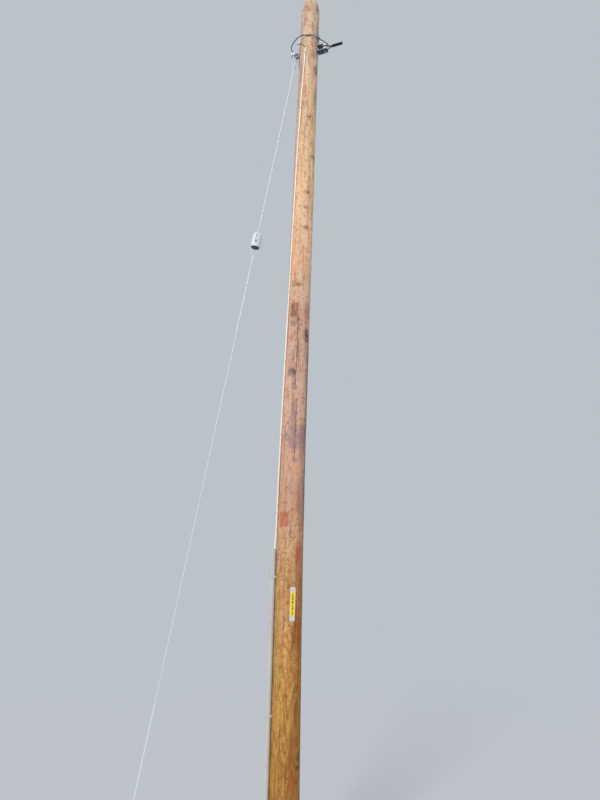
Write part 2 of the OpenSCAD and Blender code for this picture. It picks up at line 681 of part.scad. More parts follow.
conduit_tilt = atan(side_slope(conduit_dir, conduit_h / 6));
conduit_low = ground_d / 2;
module on_conduit(z) {
    at_pole(conduit_dir, 0) translate([pole_r(0) + seat + conduit_d / 2, 0, 0]) rotate([0, conduit_tilt, 0])
        translate([0, 0, z]) children();
}
module conduit() color("lightgray") difference() {
    on_conduit(-conduit_low) difference() {
        cylinder(d = conduit_d, h = conduit_h + conduit_low);
        translate([0, 0, -1]) cylinder(d = conduit_d - 2 * conduit_wall, h = 2 * conduit_h);
    }
    translate([-2 * ground_d, -2 * ground_d, -4 * ground_d]) cube(4 * ground_d);
}

// Straps: a bent strip over the conduit with one ear on the timber, away from the tag
strap_end = 200;
strap_heights = [1.5 * strap_end, conduit_h / 2 + strap_end / 4, conduit_h - strap_end];
ear = 17;
ear_lift = 0.2;
function conduit_c(z) =
    (pole_r(0) + seat + conduit_d / 2 + z * tan(conduit_tilt)) * [cos(conduit_dir), sin(conduit_dir)];
function strap_to(z) = conduit_c(z) - pole_c(z);
function ear_turn(z) = asin((conduit_d / 2 + strap_t + ear_lift + ear / 2) / pole_r(z));
function strap_dir(z) = atan2(strap_to(z)[1], strap_to(z)[0]);
module at_strap(z) at_pole(strap_dir(z), z) rotate([0, conduit_tilt, 0]) children();
module on_ear(z) at_strap(z) rotate([0, 0, -ear_turn(z)])
    translate([pole_r(z) + ear_lift, 0, 0]) children();
module conduit_straps() color("lightgray") for (z = strap_heights) {
    ear_end = (pole_r(z) + ear_lift) * cos(ear_turn(z)) + ear / 2 * sin(ear_turn(z));
    at_strap(z) translate([norm(strap_to(z)), 0, -strap_w / 2]) linear_extrude(height = strap_w)
        strap_shape(norm(strap_to(z)) - ear_end);
    on_ear(z) translate([0, -ear / 2, -strap_w / 2]) cube([strap_t, ear + strap_t, strap_w]);
}
module strap_shape(reach) {
    r = conduit_d / 2 + ear_lift;
    intersection() {
        difference() {
            circle(r = r + strap_t);
            circle(r = r);
        }
        translate([0, -2 * r]) square([2 * r, 4 * r]);
    }
    translate([-reach, -r - strap_t]) square([reach, strap_t]);
    translate([-r, r]) square([r, strap_t]);
}
module strap_screws() color("silver") for (z = strap_heights) on_ear(z)
    translate([strap_t, 0, 0]) rotate([0, 90, 0]) cylinder(d1 = 9, d2 = 6, h = 2.5);

// Number tag

module tag_holder() color("silver") on_side(tag_dir, tag_z) translate([seat, 0, 0]) difference() {
    union() {
        rotate([90, 0, 90]) linear_extrude(height = tag_t) tag_outline();
        for (side = [-1, 1]) translate([0, side * (tag_w - lip) / 2 - lip / 2, -strip_h / 2])
            cube([tag_t + 3, lip, strip_h]);
    }
    for (side = [-1, 1]) translate([0, 0, side * (tag_h / 2 - 12)])
        rotate([0, 90, 0]) cylinder(d = 5, h = 10, center = true, $fn = 24);
}
module tag_outline() {
    half = tag_h / 2;
    r = 12;
    translate([-tag_w / 2, -half + r]) square([tag_w, 2 * (half - r)]);
    translate([-tag_w / 2 + r, -half]) square([tag_w - 2 * r, 2 * half]);
    for (x = [-1, 1], y = [-1, 1]) translate([x * (tag_w / 2 - r), y * (half - r)]) circle(r = r);
}
module tag_strip() color("gold") on_side(tag_dir, tag_z)
    translate([seat + tag_t, lip + 0.2 - tag_w / 2, -strip_h / 2])
        cube([2, tag_w - 2 * lip - 0.4, strip_h]);
module tag_nails() color("gray") for (side = [-1, 1]) on_side(tag_dir, tag_z)
    translate([seat + tag_t, 0, side * (tag_h / 2 - 12)])
        rotate([0, 90, 0]) cylinder(d1 = 10, d2 = 7, h = 2, $fn = 32);

pole_shaft();
through_bolt();
strain_plate();
thimble_eye_nut();
plate_nails();
spool_clevis();
spool_insulator();
spool_pin();
spool_cotter();
upper_bolt();
upper_bolt_nut();
upper_washer_front();
upper_washer_back();
guy_grip_top();
guy_strand_upper();
insulator_grip_upper();
guy_insulator();
insulator_grip_lower();
guy_strand_lower();
guy_grip_bottom();
anchor_rod();
bond_jumper();
jumper_serving();
jumper_staple();
bond_clamp();
ground_lead();
ground_lead_end();
lead_staples();
conduit();
conduit_straps();
strap_screws();
tag_holder();
tag_strip();
tag_nails();
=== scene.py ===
import math

import bpy
from mathutils import Matrix, Vector


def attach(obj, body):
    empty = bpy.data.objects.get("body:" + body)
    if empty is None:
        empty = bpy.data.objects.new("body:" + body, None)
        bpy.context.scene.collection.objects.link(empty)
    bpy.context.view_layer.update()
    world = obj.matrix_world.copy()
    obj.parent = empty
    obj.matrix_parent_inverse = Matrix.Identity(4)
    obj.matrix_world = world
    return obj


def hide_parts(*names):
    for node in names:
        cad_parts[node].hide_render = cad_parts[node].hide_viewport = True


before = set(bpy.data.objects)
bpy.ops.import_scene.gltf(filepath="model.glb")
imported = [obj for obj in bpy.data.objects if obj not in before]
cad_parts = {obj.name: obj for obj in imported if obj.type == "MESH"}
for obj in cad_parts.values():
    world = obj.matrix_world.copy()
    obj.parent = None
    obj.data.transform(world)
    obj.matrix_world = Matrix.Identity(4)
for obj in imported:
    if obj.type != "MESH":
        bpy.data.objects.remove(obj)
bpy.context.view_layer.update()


# Timber
# The pole is one peeled pine trunk, tapered and slightly bowed, with drying checks,
# knots and a worn top edge. It is built from its flat foot up.
pole_height = 7.62
foot_radius = 0.1105
top_radius = 0.087
bow_depth = 0.033
bow_height = 2.6
bow_blend = 1.0
bow_direction = math.radians(202)
worn_depth = 0.155
worn_inset = 0.029
# What is closer than this to the level of the foot or the top lies in it
near_end = 0.001


def timber_radius(z):
    return foot_radius + (top_radius - foot_radius) * z / pole_height


def timber_bow(z):
    low = bow_depth / bow_height
    high = -bow_depth / (pole_height - bow_height)
    if z < bow_height - bow_blend:
        return low * z
    if z > bow_height + bow_blend:
        return bow_depth + high * (z - bow_height)
    return low * z + (high - low) * (z - bow_height + bow_blend) ** 2 / (4 * bow_blend)


def timber_middle(z):
    return Vector((timber_bow(z) * math.cos(bow_direction), timber_bow(z) * math.sin(bow_direction), z))


def off_timber(degrees, z, out):
    turn = math.radians(degrees)
    reach = timber_radius(z) + out
    return timber_middle(z) + Vector((reach * math.cos(turn), reach * math.sin(turn), 0))


def nothing_selected():
    if bpy.context.object and bpy.context.object.mode != "OBJECT":
        bpy.ops.object.mode_set(mode="OBJECT")
    bpy.ops.object.select_all(action="DESELECT")


def take(piece):
    nothing_selected()
    bpy.context.view_layer.objects.active = piece
    piece.select_set(True)
    return piece


def settle(piece):
    take(piece)
    bpy.ops.object.transform_apply(location=True, rotation=True, scale=True)
    return piece


timber_sides = 96
timber_rings = 84
worn_rings = 9
cap_inset = 0.02
nothing_selected()
bpy.ops.mesh.primitive_circle_add(vertices=timber_sides, radius=foot_radius, fill_type="NOTHING", location=(0, 0, 0))
timber = bpy.context.object
timber.name = "timber"
bpy.ops.object.mode_set(mode="EDIT")
ring_heights = [(pole_height - worn_depth) * i / timber_rings for i in range(1, timber_rings + 1)]
ring_heights += [pole_height - worn_depth + worn_depth * i / worn_rings for i in range(1, worn_rings + 1)]
last_z, last_reach = 0.0, foot_radius
for z in ring_heights:
    worn = worn_inset * max(0, (z - pole_height + worn_depth) / worn_depth) ** 2
    step = timber_middle(z) - timber_middle(last_z)
    bpy.ops.mesh.extrude_region_move(TRANSFORM_OT_translate={"value": step})
    reach = timber_radius(z) - worn
    ratio = reach / last_reach
    bpy.ops.transform.resize(value=(ratio, ratio, 1), center_override=timber_middle(z))
    last_z, last_reach = z, reach
bpy.ops.mesh.edge_face_add()
bpy.ops.mesh.inset(thickness=0.012, depth=0)
bpy.ops.mesh.inset(thickness=cap_inset, depth=0)

# The foot is closed, and then the faces are turned outwards
bpy.ops.mesh.select_all(action="DESELECT")
bpy.ops.mesh.select_mode(type="VERT")
bpy.ops.object.mode_set(mode="OBJECT")
for v in timber.data.vertices:
    v.select = v.co.z < near_end
bpy.ops.object.mode_set(mode="EDIT")
bpy.ops.mesh.edge_face_add()
bpy.ops.mesh.inset(thickness=cap_inset, depth=0)
bpy.ops.mesh.select_all(action="SELECT")
bpy.ops.mesh.normals_make_consistent(inside=False)
bpy.ops.mesh.select_mode(type="EDGE")
bpy.ops.mesh.select_all(action="DESELECT")
bpy.ops.object.mode_set(mode="OBJECT")
# Each drying check is an edge chain, widened and then pushed in short of its ends
check_end = 0.06
chain_degrees, bottom_degrees = 0.5, 0.12
# Direction, lower and upper end, half width and depth
drying_checks = [
    (292, 3.60, 4.25, 0.0016, 0.010), (300, 3.05, 3.55, 0.0013, 0.008), (322, 5.05, 5.75, 0.0014, 0.009),
    (337, 3.98, 4.30, 0.0022, 0.012), (270, 0.35, 1.25, 0.0010, 0.007), (315, 0.10, 0.75, 0.0010, 0.007),
    (30, 0.30, 2.40, 0.0020, 0.014), (75, 2.10, 4.70, 0.0024, 0.016), (120, 4.30, 6.60, 0.0018, 0.012),
    (160, 0.20, 1.70, 0.0016, 0.010), (183, 4.60, 6.30, 0.0014, 0.010), (8, 4.90, 6.70, 0.0018, 0.012),
    (345, 6.55, 6.90, 0.0020, 0.012), (97, 0.05, 1.40, 0.0014, 0.010), (48, 5.60, 7.10, 0.0015, 0.010),
]


def degrees_off(spot, side):
    around = (spot - timber_middle(spot.z)).to_2d()
    return abs((math.degrees(math.atan2(around.y, around.x)) - side + 180) % 360 - 180)


for degrees, low, high, half, deep in drying_checks:
    side = round(degrees / 360 * timber_sides) * 360 / timber_sides
    for e in timber.data.edges:
        a, b = (timber.data.vertices[i].co for i in e.vertices)
        middle = (a + b) / 2
        e.select = degrees_off(middle, side) < chain_degrees and low < middle.z < high and abs(a.z - b.z) > 0.01
    bpy.ops.object.mode_set(mode="EDIT")
    bpy.ops.mesh.bevel(offset=half, offset_type="OFFSET", segments=2, profile=0.5)
    bpy.ops.mesh.select_mode(type="VERT")
    bpy.ops.mesh.select_all(action="DESELECT")
    bpy.ops.object.mode_set(mode="OBJECT")
    for v in timber.data.vertices:
        v.select = degrees_off(v.co, side) < bottom_degrees and low + check_end < v.co.z < high - check_end
    bpy.ops.object.mode_set(mode="EDIT")
    halfway = (low + high) / 2
    closer = 1 - deep / timber_radius(halfway)
    bpy.ops.transform.resize(value=(closer, closer, 1), center_override=timber_middle(halfway))
    bpy.ops.mesh.select_mode(type="EDGE")
    bpy.ops.mesh.select_all(action="DESELECT")
    bpy.ops.object.mode_set(mode="OBJECT")
# Slight unevenness all over the sides, inwards only
lumps = bpy.data.textures.new("timber_lumps", type="CLOUDS")
lumps.noise_scale = 0.22
lumps.noise_depth = 3
take(timber)
sides = timber.vertex_groups.new(name="sides")
sides.add([v.index for v in timber.data.vertices if near_end < v.co.z < pole_height - near_end], 1.0, "REPLACE")
uneven = timber.modifiers.new("uneven", "DISPLACE")
uneven.texture = lumps
uneven.texture_coords = "LOCAL"
uneven.vertex_group = "sides"
uneven.strength = 0.0022
uneven.mid_level = 1.0
bpy.ops.object.modifier_apply(modifier="uneven")
bpy.ops.object.shade_smooth_by_angle(angle=math.radians(50))


def linear(red, green, blue):
    def channel(c):
        c = c / 255
        return c / 12.92 if c <= 0.04045 else ((c + 0.055) / 1.055) ** 2.4
    return (channel(red), channel(green), channel(blue), 1.0)


def new_finish(name):
    finish = bpy.data.materials.new(name)
    finish.use_nodes = True
    tree = finish.node_tree
    return finish, tree, tree.nodes["Principled BSDF"]


def put(tree, kind, settings, sockets):
    node = tree.nodes.new(kind)
    for key, value in settings.items():
        setattr(node, key, value)
    for key, value in sockets.items():
        if isinstance(value, bpy.types.NodeSocket):
            tree.links.new(value, node.inputs[key])
        else:
            node.inputs[key].default_value = value
    return node


def maths(tree, operation, a, b=0.0, c=0.0):
    return put(tree, "ShaderNodeMath", {"operation": operation}, {0: a, 1: b, 2: c}).outputs[0]


def spread(tree, value, low, high, to_low=0.0, to_high=1.0):
    return put(tree, "ShaderNodeMapRange", {"interpolation_type": "SMOOTHSTEP"},
               {"Value": value, "From Min": low, "From Max": high, "To Min": to_low, "To Max": to_high}).outputs[0]


def blend(tree, amount, first, second, how="MIX"):
    mix = put(tree, "ShaderNodeMix", {"data_type": "RGBA", "blend_type": how}, {0: amount})
    for index, value in ((6, first), (7, second)):
        if isinstance(value, bpy.types.NodeSocket):
            tree.links.new(value, mix.inputs[index])
        else:
            mix.inputs[index].default_value = value
    return mix.outputs[2]


def vector(tree, operation, *values, output=0):
    return put(tree, "ShaderNodeVectorMath", {"operation": operation}, dict(enumerate(values))).outputs[output]


def object_place(tree, scale=(1, 1, 1)):
    place = put(tree, "ShaderNodeTexCoord", {}, {}).outputs["Object"]
    return vector(tree, "MULTIPLY", place, scale)


def noise(tree, place, scale, detail=4.0, rough=0.55, distort=0.0):
    return put(tree, "ShaderNodeTexNoise", {}, {"Vector": place, "Scale": scale, "Detail": detail,
                                                "Roughness": rough, "Distortion": distort}).outputs[0]


wood, tree, shader = new_finish("weathered_pine")
place = object_place(tree)
height = put(tree, "ShaderNodeSeparateXYZ", {}, {0: place}).outputs[2]
ramp = put(tree, "ShaderNodeValToRGB", {}, {0: maths(tree, "DIVIDE", height, pole_height)})
# Sun-bleached in the upper half, pinkish in the middle and golden towards the foot
wood_by_height = [
    (0.00, (173, 126, 63)), (0.13, (190, 147, 79)), (0.20, (209, 170, 100)), (0.28, (213, 175, 127)),
    (0.36, (211, 172, 147)), (0.46, (221, 185, 165)), (0.56, (214, 180, 158)), (0.64, (244, 208, 171)),
    (0.78, (239, 206, 172)), (0.90, (230, 203, 176)), (1.00, (222, 199, 176)),
]
stops = ramp.color_ramp.elements
stops[0].position, stops[0].color = wood_by_height[0][0], linear(*wood_by_height[0][1])
stops[1].position, stops[1].color = wood_by_height[-1][0], linear(*wood_by_height[-1][1])
for share, colour in wood_by_height[1:-1]:
    stop = stops.new(share)
    stop.color = linear(*colour)
wood_colour = ramp.outputs[0]


def tinted(amount, tint):
    return blend(tree, amount, wood_colour, linear(*tint), "MULTIPLY")


# Broad stripes along the trunk, some yellower and some pinker
stripes = noise(tree, object_place(tree, (1, 1, 0.09)), 26.0, 2.0, 0.5)
wood_colour = tinted(spread(tree, stripes, 0.50, 0.66), (250, 230, 228))
wood_colour = tinted(spread(tree, stripes, 0.48, 0.34), (252, 244, 222))
# Grey-brown smudges of weathering, more of them towards the top
smudges = noise(tree, object_place(tree, (1, 1, 0.3)), 24.0, 4.0, 0.6)
weathered = maths(tree, "MULTIPLY", spread(tree, smudges, 0.46, 0.66),
                  spread(tree, height, 4.2, 6.6, 0.12, 0.75))
wood_colour = tinted(weathered, (206, 198, 186))
# Growth rings that the peeling cut through, drawn out into pointed flames
flame_field = noise(tree, object_place(tree, (1, 1, 0.17)), 13.0, 1.0, 0.4, 0.35)
flames = maths(tree, "PINGPONG", maths(tree, "MULTIPLY", flame_field, 8.0), 0.5)
flame_line = spread(tree, flames, 0.12, 0.50)
low_down = spread(tree, height, 3.0, 1.6, 0.12, 0.62)
wood_colour = tinted(maths(tree, "MULTIPLY", flame_line, low_down), (204, 172, 140))
# Fine fibres, and coarser ones that hold more dirt
fibres = noise(tree, object_place(tree, (1, 1, 0.016)), 190.0, 3.0, 0.6)
wood_colour = tinted(spread(tree, fibres, 0.42, 0.68, 0.0, 0.35), (202, 180, 164))
coarse = noise(tree, object_place(tree, (1, 1, 0.07)), 34.0, 3.0, 0.6)
wood_colour = tinted(spread(tree, coarse, 0.52, 0.74, 0.0, 0.45), (190, 152, 128))
mottle = noise(tree, object_place(tree, (1, 1, 0.5)), 120.0, 3.0, 0.65)
wood_colour = tinted(spread(tree, mottle, 0.50, 0.70, 0.0, 0.50), (200, 168, 140))
# Blotches as wide as a thumb, where the sap dried unevenly
blotches = noise(tree, object_place(tree, (1, 1, 0.7)), 42.0, 2.0, 0.55)
wood_colour = tinted(spread(tree, blotches, 0.52, 0.66, 0.0, 0.55), (206, 178, 158))
wood_colour = tinted(spread(tree, blotches, 0.46, 0.34, 0.0, 0.60), (255, 250, 232))
# Ripples across the grain, where the peeling knife chattered
ripple_field = noise(tree, object_place(tree, (1, 1, 0.9)), 17.0, 1.0, 0.4, 1.0)
ripples = maths(tree, "PINGPONG", maths(tree, "MULTIPLY", ripple_field, 3.0), 0.5)
ripple_line = spread(tree, ripples, 0.24, 0.46)
from_ripples = maths(tree, "ABSOLUTE", maths(tree, "SUBTRACT", height, 2.05))
ripple_band = spread(tree, from_ripples, 0.80, 0.30, 0.06, 0.34)
wood_colour = tinted(maths(tree, "MULTIPLY", ripple_line, ripple_band), (206, 170, 142))
# Redder and darker on the side away from the guy, low down, with a ragged edge: partly a redder tone of the wood, and
# partly painted shade on the side that the sun barely reaches
side_field = vector(tree, "DOT_PRODUCT", place, (0.985, -0.174, 0), output="Value")
side_wander = maths(tree, "MULTIPLY", maths(tree, "SUBTRACT", stripes, 0.5), 0.10)
side_edge = maths(tree, "ADD", side_field, side_wander)
side_height = maths(tree, "MULTIPLY", spread(tree, height, 3.0, 1.9), spread(tree, height, 0.9, 1.7, 0.45, 1.0))
red_and_shaded_side = maths(tree, "MULTIPLY", spread(tree, side_edge, 0.058, 0.078), side_height)
wood_colour = tinted(maths(tree, "MULTIPLY", red_and_shaded_side, 0.90), (218, 186, 158))
# Places shifted by noise, so that the marks laid on them get ragged edges: far for the stained patches and the painted
# edge shade, and less for knots and square marks
ragged = put(tree, "ShaderNodeTexNoise", {}, {"Vector": object_place(tree, (1, 1, 0.45)), "Scale": 30.0,
                                              "Detail": 4.0, "Roughness": 0.65}).outputs["Color"]
ragged = vector(tree, "SUBTRACT", ragged, (0.5, 0.5, 0.5))
ragged_mark_place = vector(tree, "MULTIPLY_ADD", ragged, (0.03, 0.03, 0.11), place)
knot_place = vector(tree, "MULTIPLY_ADD", ragged, (0.016, 0.016, 0.02), place)
# Marks are weaker where the blotches, the coarse fibres and the mottle are
broken = maths(tree, "MULTIPLY", spread(tree, coarse, 0.32, 0.54, 0.70, 1.0),
               spread(tree, mottle, 0.36, 0.58, 0.75, 1.0))
broken = maths(tree, "MULTIPLY", spread(tree, blotches, 0.36, 0.54, 0.55, 1.0), broken)


def laid_mark(laid_on, degrees, z, across, along, colour, amount, soft=0.5, square=False):
    away = vector(tree, "SUBTRACT", laid_on, off_timber(degrees, z, 0))
    shares = vector(tree, "DIVIDE", away, (across, across, along))
    if square:
        split = put(tree, "ShaderNodeSeparateXYZ", {}, {0: shares})
        sideways = maths(tree, "SQRT", maths(tree, "ADD", maths(tree, "POWER", split.outputs[0], 2.0),
                                             maths(tree, "POWER", split.outputs[1], 2.0)))
        far = maths(tree, "MAXIMUM", sideways, maths(tree, "ABSOLUTE", split.outputs[2]))
        cover = spread(tree, blotches, 0.34, 0.58, 0.65, 1.0)
    else:
        far = vector(tree, "LENGTH", shares, output="Value")
        cover = broken
    part = maths(tree, "MULTIPLY", spread(tree, far, 1 + soft, 1 - soft, 0.0, amount), cover)
    return blend(tree, part, wood_colour, linear(*colour))


# Stained patches that stand out, and painted shade along the two edges of the seen side: direction, height, half
# width, half length, colour and strength. The long entries at 20 to 22 degrees and at 208 to 225 degrees are the
# painted edge shade
stains_and_edge_shade = [
    (339.9, 4.297, 0.033, 0.076, (160, 110, 102), 0.80), (292.5, 4.219, 0.011, 0.017, (88, 68, 72), 0.95),
    (272.7, 4.195, 0.036, 0.026, (152, 118, 114), 0.95), (297.0, 4.147, 0.011, 0.038, (138, 126, 114), 0.80),
    (263.6, 4.066, 0.019, 0.045, (186, 118, 84), 0.85), (345.4, 4.090, 0.033, 0.063, (78, 58, 70), 1.00),
    (322.7, 4.096, 0.015, 0.042, (188, 130, 92), 0.70), (298.0, 3.970, 0.009, 0.104, (134, 96, 100), 0.85),
    (264.0, 3.885, 0.010, 0.077, (168, 134, 130), 0.80), (274.0, 3.880, 0.008, 0.070, (160, 126, 122), 0.80),
    (273.7, 3.765, 0.032, 0.042, (92, 76, 84), 0.95), (284.0, 3.696, 0.018, 0.037, (136, 130, 134), 0.75),
    (285.8, 3.640, 0.022, 0.024, (142, 102, 104), 0.80), (289.3, 3.421, 0.023, 0.116, (146, 106, 108), 0.90),
    (264.0, 3.353, 0.013, 0.019, (130, 84, 80), 0.85), (256.6, 3.244, 0.016, 0.034, (102, 94, 88), 0.90),
    (341.2, 3.233, 0.042, 0.112, (138, 98, 102), 0.90), (293.5, 3.288, 0.021, 0.048, (118, 80, 90), 0.90),
    (294.1, 3.172, 0.027, 0.059, (146, 104, 102), 0.80), (300.5, 3.061, 0.025, 0.024, (152, 116, 104), 0.60),
    (290.0, 3.230, 0.080, 0.090, (160, 130, 130), 0.65), (283.9, 2.848, 0.013, 0.047, (150, 120, 102), 0.60),
    (249.6, 2.554, 0.019, 0.022, (192, 122, 90), 0.70), (293.0, 2.512, 0.009, 0.016, (112, 92, 88), 0.80),
    (328.6, 2.359, 0.021, 0.067, (184, 84, 64), 0.95), (334.3, 2.241, 0.019, 0.054, (180, 112, 80), 0.70),
    (270.2, 4.548, 0.041, 0.033, (172, 124, 98), 0.65), (320.1, 4.604, 0.013, 0.029, (168, 124, 96), 0.60),
    (317.8, 5.339, 0.017, 0.082, (230, 176, 158), 0.60), (313.2, 5.072, 0.023, 0.022, (168, 128, 92), 0.75),
    (354.1, 5.806, 0.040, 0.027, (120, 92, 68), 0.80), (350.7, 6.762, 0.025, 0.052, (112, 92, 72), 0.80),
    (294.8, 6.667, 0.017, 0.170, (214, 194, 142), 0.60), (278.5, 7.446, 0.011, 0.021, (146, 112, 92), 0.80),
    (341.7, 7.472, 0.024, 0.067, (112, 96, 104), 0.70), (20.0, 2.808, 0.046, 0.260, (84, 66, 80), 0.95),
    (20.0, 3.298, 0.046, 0.300, (84, 68, 82), 0.95), (20.0, 3.831, 0.045, 0.300, (88, 70, 80), 0.90),
    (343.5, 2.796, 0.035, 0.199, (160, 124, 112), 0.75), (343.6, 3.146, 0.039, 0.151, (164, 126, 118), 0.75),
    (290.4, 3.296, 0.025, 0.152, (166, 130, 128), 0.70), (304.9, 2.961, 0.032, 0.064, (212, 158, 122), 0.70),
    (346.0, 3.939, 0.026, 0.074, (146, 112, 108), 0.60), (320.9, 1.065, 0.035, 0.114, (150, 96, 46), 0.75),
    (334.6, 1.715, 0.025, 0.114, (150, 88, 48), 0.60), (340.0, 1.257, 0.017, 0.095, (140, 80, 36), 0.70),
    (322.7, 0.825, 0.030, 0.084, (158, 92, 42), 0.70), (350.1, 0.992, 0.019, 0.029, (88, 60, 26), 1.00),
    (348.5, 0.924, 0.015, 0.018, (76, 52, 20), 1.00), (282.4, 1.178, 0.026, 0.047, (150, 94, 34), 0.60),
    (292.2, 1.800, 0.022, 0.024, (164, 104, 34), 0.60), (290.8, 7.465, 0.045, 0.085, (184, 146, 112), 0.35),
    (276.8, 7.449, 0.022, 0.030, (150, 104, 84), 0.80), (311.5, 7.243, 0.021, 0.048, (150, 116, 84), 0.70),
    (345.7, 7.123, 0.026, 0.201, (136, 116, 104), 0.60), (255.9, 6.738, 0.017, 0.114, (150, 128, 112), 0.60),
    (353.2, 6.422, 0.031, 0.100, (168, 150, 104), 0.70), (315.9, 6.124, 0.040, 0.032, (196, 156, 116), 0.50),
    (320.3, 6.611, 0.018, 0.214, (224, 176, 152), 0.50), (225.0, 6.900, 0.050, 0.450, (172, 148, 132), 0.60),
    (220.0, 6.150, 0.045, 0.450, (176, 148, 134), 0.60), (208.0, 5.300, 0.034, 0.550, (156, 128, 116), 0.60),
    (208.0, 4.400, 0.034, 0.500, (116, 94, 98), 0.80), (208.0, 3.600, 0.034, 0.450, (110, 90, 96), 0.80),
    (208.0, 2.900, 0.034, 0.350, (120, 96, 98), 0.70), (22.0, 5.200, 0.032, 0.600, (160, 128, 108), 0.50),
    (22.0, 6.700, 0.032, 0.500, (150, 128, 104), 0.60), (60.0, 2.900, 0.050, 0.300, (140, 104, 96), 0.70),
    (110.0, 4.300, 0.045, 0.240, (136, 104, 98), 0.70), (150.0, 1.600, 0.035, 0.120, (150, 88, 60), 0.60),
    (20.0, 3.600, 0.040, 0.120, (150, 104, 92), 0.70),
]
for degrees, z, across, along, colour, amount in stains_and_edge_shade:
    wood_colour = laid_mark(ragged_mark_place, degrees, z, across, along, colour, amount)
# Square marks where a plate once hung: direction, height, half width, half length and colour
square_marks = [(271.5, 4.312, 0.033, 0.061, (138, 80, 68)), (260.0, 2.600, 0.040, 0.056, (182, 98, 76))]
for degrees, z, across, along, colour in square_marks:
    wood_colour = laid_mark(knot_place, degrees, z, across, along, colour, 0.85, 0.16, True)
# Knots: a dark heart in a ring of darker wood, wider than tall; direction, height and half width
knots = [
    (310.3, 6.213, 0.014), (318.2, 5.429, 0.012), (308.2, 5.275, 0.009), (318.7, 5.084, 0.010),
    (331.6, 4.851, 0.006), (286.0, 4.539, 0.017), (336.7, 3.558, 0.008), (300.5, 3.535, 0.006),
    (40.0, 1.900, 0.014), (85.0, 3.400, 0.012), (130.0, 5.200, 0.013), (20.0, 6.100, 0.010),
    (165.0, 3.100, 0.012), (100.0, 0.700, 0.013),
]
for degrees, z, half in knots:
    wood_colour = laid_mark(knot_place, degrees, z, half * 2.6, half * 2.2, (176, 132, 100), 0.7, 0.6)
    wood_colour = laid_mark(knot_place, degrees, z, half * 1.1, half * 0.8, (104, 76, 60), 0.95)
# Hairline checks that run with the fibres
crack_field = noise(tree, object_place(tree, (1, 1, 0.02)), 46.0, 2.0, 0.5)
crack_line = spread(tree, maths(tree, "ABSOLUTE", maths(tree, "SUBTRACT", crack_field, 0.5)), 0.010, 0.002)
crack_where = spread(tree, noise(tree, object_place(tree, (1, 1, 0.25)), 5.0, 2.0), 0.52, 0.60)
cracks = maths(tree, "MULTIPLY", crack_line, crack_where)
wood_colour = blend(tree, maths(tree, "MULTIPLY", cracks, 0.7), wood_colour, linear(84, 60, 46))
tree.links.new(wood_colour, shader.inputs["Base Color"])
tree.links.new(spread(tree, fibres, 0.3, 0.7, 0.68, 0.86), shader.inputs["Roughness"])
relief = maths(tree, "SUBTRACT", maths(tree, "MULTIPLY", fibres, 0.5), cracks)
bump = put(tree, "ShaderNodeBump", {}, {"Strength": 0.5, "Distance": 0.0015, "Height": relief})
tree.links.new(bump.outputs[0], shader.inputs["Normal"])
shader.inputs["Specular IOR Level"].default_value = 0.25
timber.data.materials.append(wood)

# End grain on the sawn top and foot: rings round the heart, under patches of dirt
end_grain, tree, shader = new_finish("pine_end_grain")
place = object_place(tree)
flat_place = vector(tree, "MULTIPLY", place, (1, 1, 0))
from_heart = vector(tree, "LENGTH", flat_place, output="Value")
wander = maths(tree, "MULTIPLY", noise(tree, flat_place, 14.0, 2.0), 0.012)
rings = maths(tree, "PINGPONG", maths(tree, "MULTIPLY", maths(tree, "ADD", from_heart, wander), 260.0), 0.5)
end_colour = blend(tree, spread(tree, rings, 0.2, 0.48), linear(176, 142, 104), linear(128, 92, 62))
dirt = spread(tree, noise(tree, flat_place, 30.0), 0.45, 0.7, 0.0, 0.6)
end_colour = blend(tree, dirt, end_colour, linear(122, 112, 100))
tree.links.new(end_colour, shader.inputs["Base Color"])
shader.inputs["Roughness"].default_value = 0.88
timber.data.materials.append(end_grain)
for face in timber.data.polygons:
    if abs(face.normal.z) > 0.9 and not near_end < face.center.z < pole_height - near_end:
        face.material_index = 1
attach(timber, "root")
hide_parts("pole_shaft")


# Galvanised hardware
# Bolts, nuts, washers, plates, the eye nut, the bracket and the straps are mild steel dipped
# in zinc, which leaves a dull grey skin with faint crystals and a little white bloom.
def galvanised(name, tint, dull, bloom, metal=0.65):
    finish, tree, shader = new_finish(name)
    place = object_place(tree)
    crystals = put(tree, "ShaderNodeTexVoronoi", {}, {"Vector": place, "Scale": 240.0}).outputs["Color"]
    shade = put(tree, "ShaderNodeSeparateColor", {}, {0: crystals}).outputs[0]
    cloudy = noise(tree, place, 60.0, 4.0)
    dark = tuple(c * 0.72 for c in linear(*tint)[:3]) + (1.0,)
    colour = blend(tree, spread(tree, shade, 0.0, 1.0, 0.0, 0.55), linear(*tint), dark)
    colour = blend(tree, spread(tree, cloudy, 0.5, 0.72, 0.0, bloom), colour, linear(206, 208, 206))
    tree.links.new(colour, shader.inputs["Base Color"])
    tree.links.new(spread(tree, cloudy, 0.3, 0.7, dull - 0.08, dull + 0.12), shader.inputs["Roughness"])
    bump = put(tree, "ShaderNodeBump", {}, {"Strength": 0.25, "Distance": 0.0004, "Height": cloudy})
    tree.links.new(bump.outputs[0], shader.inputs["Normal"])
    shader.inputs["Metallic"].default_value = metal
    return finish


def dress(node_name, finish):
    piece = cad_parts[node_name]
    piece.data.materials.clear()
    piece.data.materials.append(finish)
    for face in piece.data.polygons:
        face.material_index = 0


